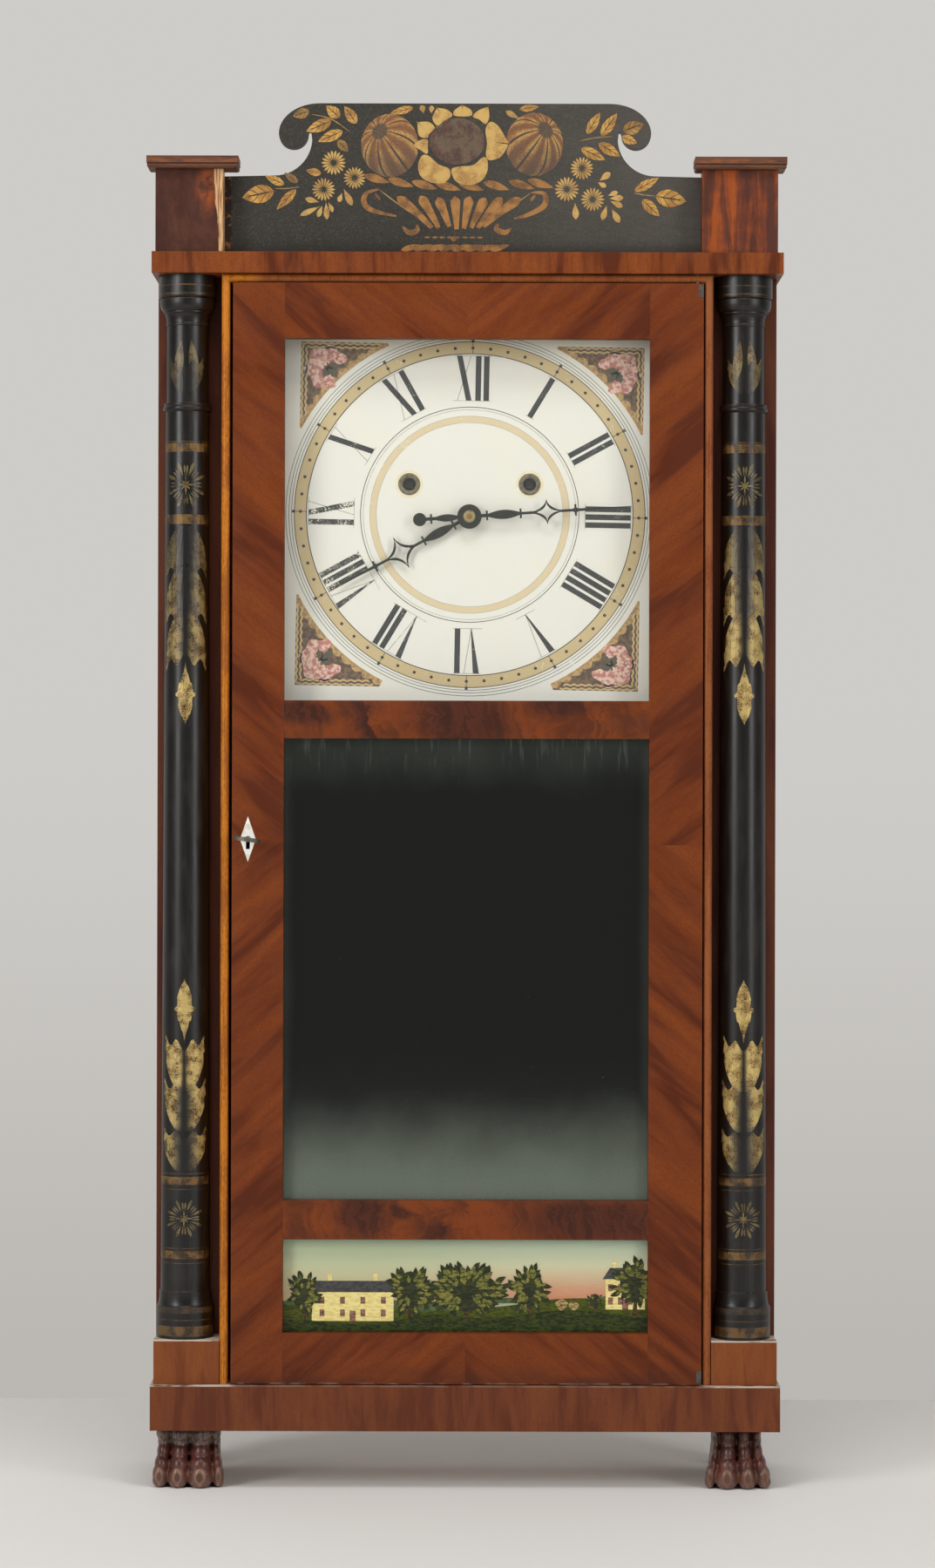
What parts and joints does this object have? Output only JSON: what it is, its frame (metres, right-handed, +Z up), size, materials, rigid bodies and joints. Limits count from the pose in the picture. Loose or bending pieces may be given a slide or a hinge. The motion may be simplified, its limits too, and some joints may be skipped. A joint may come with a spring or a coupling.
{
  "type": "shelf clock",
  "caption": "Empire shelf clock with stencilled half columns and splat, paw feet, and a hinged door with dial glass, mirror and painted tablet; weight-driven movement inside",
  "frame": {"origin": "on the floor, at the middle of the bounding box in X and Y", "axes": "+Z up, -Y towards the viewer (the door side), +X to the viewer's right"},
  "size_m": [0.4212, 0.151, 0.9171],
  "materials": {
    "mahogany": "french polished veneer",
    "dark_mahogany": "french polished veneer",
    "pine": "bare, aged",
    "black_lacquer": "black lacquer with gold stencilling",
    "stencilled_splat": "black ground with gold stencilling",
    "feet_wood": "stained and varnished",
    "dial_paint": "painted, aged",
    "movement_wood": "bare",
    "brass": "aged",
    "steel": "worn",
    "iron": "as cast",
    "blued_steel": "dark, worn",
    "clear_glass": "old, clear",
    "mirror_glass": "old, worn silvering",
    "painted_glass": "painted on the back",
    "bone": "smooth",
    "cord": "plain"
  },
  "bodies": {
    "case": {"backboard": "pine", "case_sides": "mahogany", "top_board": "mahogany", "bottom_board": "pine", "base_rails": "mahogany", "column_boards": "mahogany", "plinth_blocks": "mahogany", "left_column": "black_lacquer", "right_column": "black_lacquer", "door_bead": "mahogany", "pedestals": "dark_mahogany", "pedestal_caps": "dark_mahogany", "splat": "stencilled_splat", "paw_feet": "feet_wood", "rear_feet": "feet_wood", "inner_rails": "pine", "dial_board": "dial_paint", "front_plate": "movement_wood", "back_plate": "movement_wood", "plate_pillars": "movement_wood", "plate_studs": "steel", "bell": "iron", "pulley_brackets": "pine", "cord_runs": "cord", "hinge_pins": "steel"},
    "door": {"lock_stile": "mahogany", "hinge_stile": "mahogany", "door_rails": "mahogany", "dial_glass": "clear_glass", "mirror_glass": "mirror_glass", "mirror_back": "pine", "painted_tablet": "painted_glass", "escutcheon": "bone", "door_lock": "steel"},
    "bolt": {"lock_bolt": "steel"},
    "key": {"door_key": "steel"},
    "minute_arbor": {"centre_wheel": "movement_wood", "minute_hand": "blued_steel", "hand_nut": "brass"},
    "hour_pipe": {"hour_wheel": "movement_wood", "hour_hand": "blued_steel"},
    "motion": {"motion_wheel": "movement_wood"},
    "third": {"third_wheel": "movement_wood"},
    "escape": {"escape_wheel": "brass"},
    "time_great": {"time_great_wheel": "movement_wood"},
    "verge_body": {"verge": "steel"},
    "pendulum": {"pendulum_rod": "steel", "pendulum_bob": "brass"},
    "time_drum_body": {"time_drum": "movement_wood"},
    "time_pulley_body": {"time_pulley": "movement_wood"},
    "time_weight_body": {"time_weight": "iron", "time_cord": "cord"},
    "strike_great": {"strike_great_wheel": "movement_wood"},
    "strike_drum_body": {"strike_drum": "movement_wood"},
    "strike_pulley_body": {"strike_pulley": "movement_wood"},
    "strike_weight_body": {"strike_weight": "iron", "strike_cord": "cord"},
    "pin_body": {"pin_wheel": "movement_wood"},
    "locking": {"locking_wheel": "movement_wood"},
    "fly_body": {"fly": "movement_wood"},
    "count": {"count_wheel": "movement_wood"},
    "hammer_body": {"hammer": "steel"}
  },
  "joints": [
    {"name": "door_swing", "type": "hinge", "parent": "case", "child": "door", "pos_m": [0.1515, -0.052, 0.4], "axis": [0, 0, 1], "range_deg": [0, 120]},
    {"name": "key_turn", "type": "hinge", "parent": "door", "child": "key", "pos_m": [-0.1438, -0.0545, 0.4293], "axis": [0, 1, 0], "range_deg": [0, 90]},
    {"name": "bolt_slide", "type": "slide", "parent": "door", "child": "bolt", "axis": [-1, 0, 0], "range_m": [0, 0.005]},
    {"name": "minute_turn", "type": "hinge", "parent": "case", "child": "minute_arbor", "pos_m": [0.0015, 0.0025, 0.64335], "axis": [0, 1, 0], "continuous": true},
    {"name": "hour_turn", "type": "hinge", "parent": "case", "child": "hour_pipe", "pos_m": [0.0015, -0.0275, 0.64335], "axis": [0, 1, 0], "continuous": true},
    {"name": "motion_turn", "type": "hinge", "parent": "case", "child": "motion", "pos_m": [0.01847, -0.0155, 0.62638], "axis": [0, 1, 0], "continuous": true},
    {"name": "third_turn", "type": "hinge", "parent": "case", "child": "third", "pos_m": [0.0015, 0.0225, 0.68335], "axis": [0, 1, 0], "continuous": true},
    {"name": "escape_turn", "type": "hinge", "parent": "case", "child": "escape", "pos_m": [-0.0125, 0.0125, 0.71846], "axis": [0, 1, 0], "continuous": true},
    {"name": "time_great_turn", "type": "hinge", "parent": "case", "child": "time_great", "pos_m": [0.0415, 0.0405, 0.66525], "axis": [0, 1, 0], "continuous": true},
    {"name": "pendulum_swing", "type": "hinge", "parent": "case", "child": "pendulum", "pos_m": [-0.0125, -0.011, 0.76312], "axis": [0, 1, 0], "range_deg": [-3, 3]},
    {"name": "verge_rock", "type": "hinge", "parent": "case", "child": "verge_body", "pos_m": [-0.0125, -0.0055, 0.74912], "axis": [0, 1, 0], "range_deg": [-4, 4]},
    {"name": "time_wind", "type": "slide", "parent": "case", "child": "time_weight_body", "axis": [0, 0, 1], "range_m": [0, 0.505], "deforming": ["time_cord"]},
    {"name": "time_drum_turn", "type": "hinge", "parent": "case", "child": "time_drum_body", "pos_m": [0.0415, 0.0305, 0.66525], "axis": [0, 1, 0], "range_deg": [0, 1970]},
    {"name": "time_pulley_turn", "type": "hinge", "parent": "case", "child": "time_pulley_body", "pos_m": [0.15, 0.02975, 0.7841], "axis": [0, -1, 0], "range_deg": [0, 2098]},
    {"name": "strike_wind", "type": "slide", "parent": "case", "child": "strike_weight_body", "axis": [0, 0, 1], "range_m": [0, 0.505], "deforming": ["strike_cord"]},
    {"name": "strike_drum_turn", "type": "hinge", "parent": "case", "child": "strike_drum_body", "pos_m": [-0.0385, 0.0305, 0.66525], "axis": [0, -1, 0], "range_deg": [0, 1970]},
    {"name": "strike_pulley_turn", "type": "hinge", "parent": "case", "child": "strike_pulley_body", "pos_m": [-0.15, 0.02975, 0.7841], "axis": [0, 1, 0], "range_deg": [0, 2098]},
    {"name": "pin_wheel_turn", "type": "hinge", "parent": "case", "child": "pin_body", "pos_m": [-0.04981, 0.0225, 0.62605], "axis": [0, 1, 0], "continuous": true},
    {"name": "strike_great_turn", "type": "hinge", "parent": "case", "child": "strike_great", "pos_m": [-0.0385, 0.0405, 0.66525], "axis": [0, 1, 0], "continuous": true},
    {"name": "locking_turn", "type": "hinge", "parent": "case", "child": "locking", "pos_m": [-0.04101, 0.0175, 0.59321], "axis": [0, 1, 0], "continuous": true},
    {"name": "fly_turn", "type": "hinge", "parent": "case", "child": "fly_body", "pos_m": [-0.01237, 0.0225, 0.5902], "axis": [0, 1, 0], "continuous": true},
    {"name": "count_turn", "type": "hinge", "parent": "case", "child": "count", "pos_m": [-0.06662, -0.0005, 0.64844], "axis": [0, 1, 0], "continuous": true},
    {"name": "hammer_lift", "type": "hinge", "parent": "case", "child": "hammer_body", "pos_m": [-0.05978, 0.0405, 0.5926], "axis": [0, 1, 0], "range_deg": [0, 12]}
  ],
  "couplings": [
    {"joint": "key_turn", "follows": "bolt_slide", "rad_per_m": 286.23},
    {"joint": "hour_turn", "follows": "minute_turn", "ratio": 0.083333},
    {"joint": "motion_turn", "follows": "minute_turn", "ratio": -0.33333},
    {"joint": "third_turn", "follows": "minute_turn", "ratio": -9},
    {"joint": "escape_turn", "follows": "minute_turn", "ratio": 85.5},
    {"joint": "time_great_turn", "follows": "minute_turn", "ratio": -0.1875},
    {"joint": "verge_rock", "follows": "pendulum_swing", "ratio": 1.3182},
    {"joint": "time_drum_turn", "follows": "time_wind", "rad_per_m": 68.027},
    {"joint": "time_pulley_turn", "follows": "time_wind", "rad_per_m": 72.464},
    {"joint": "strike_drum_turn", "follows": "strike_wind", "rad_per_m": 68.027},
    {"joint": "strike_pulley_turn", "follows": "strike_wind", "rad_per_m": 72.464},
    {"joint": "strike_great_turn", "follows": "pin_wheel_turn", "ratio": -0.13333},
    {"joint": "locking_turn", "follows": "pin_wheel_turn", "ratio": -7.5},
    {"joint": "fly_turn", "follows": "pin_wheel_turn", "ratio": 52.5},
    {"joint": "count_turn", "follows": "pin_wheel_turn", "ratio": -0.16667}
  ]
}
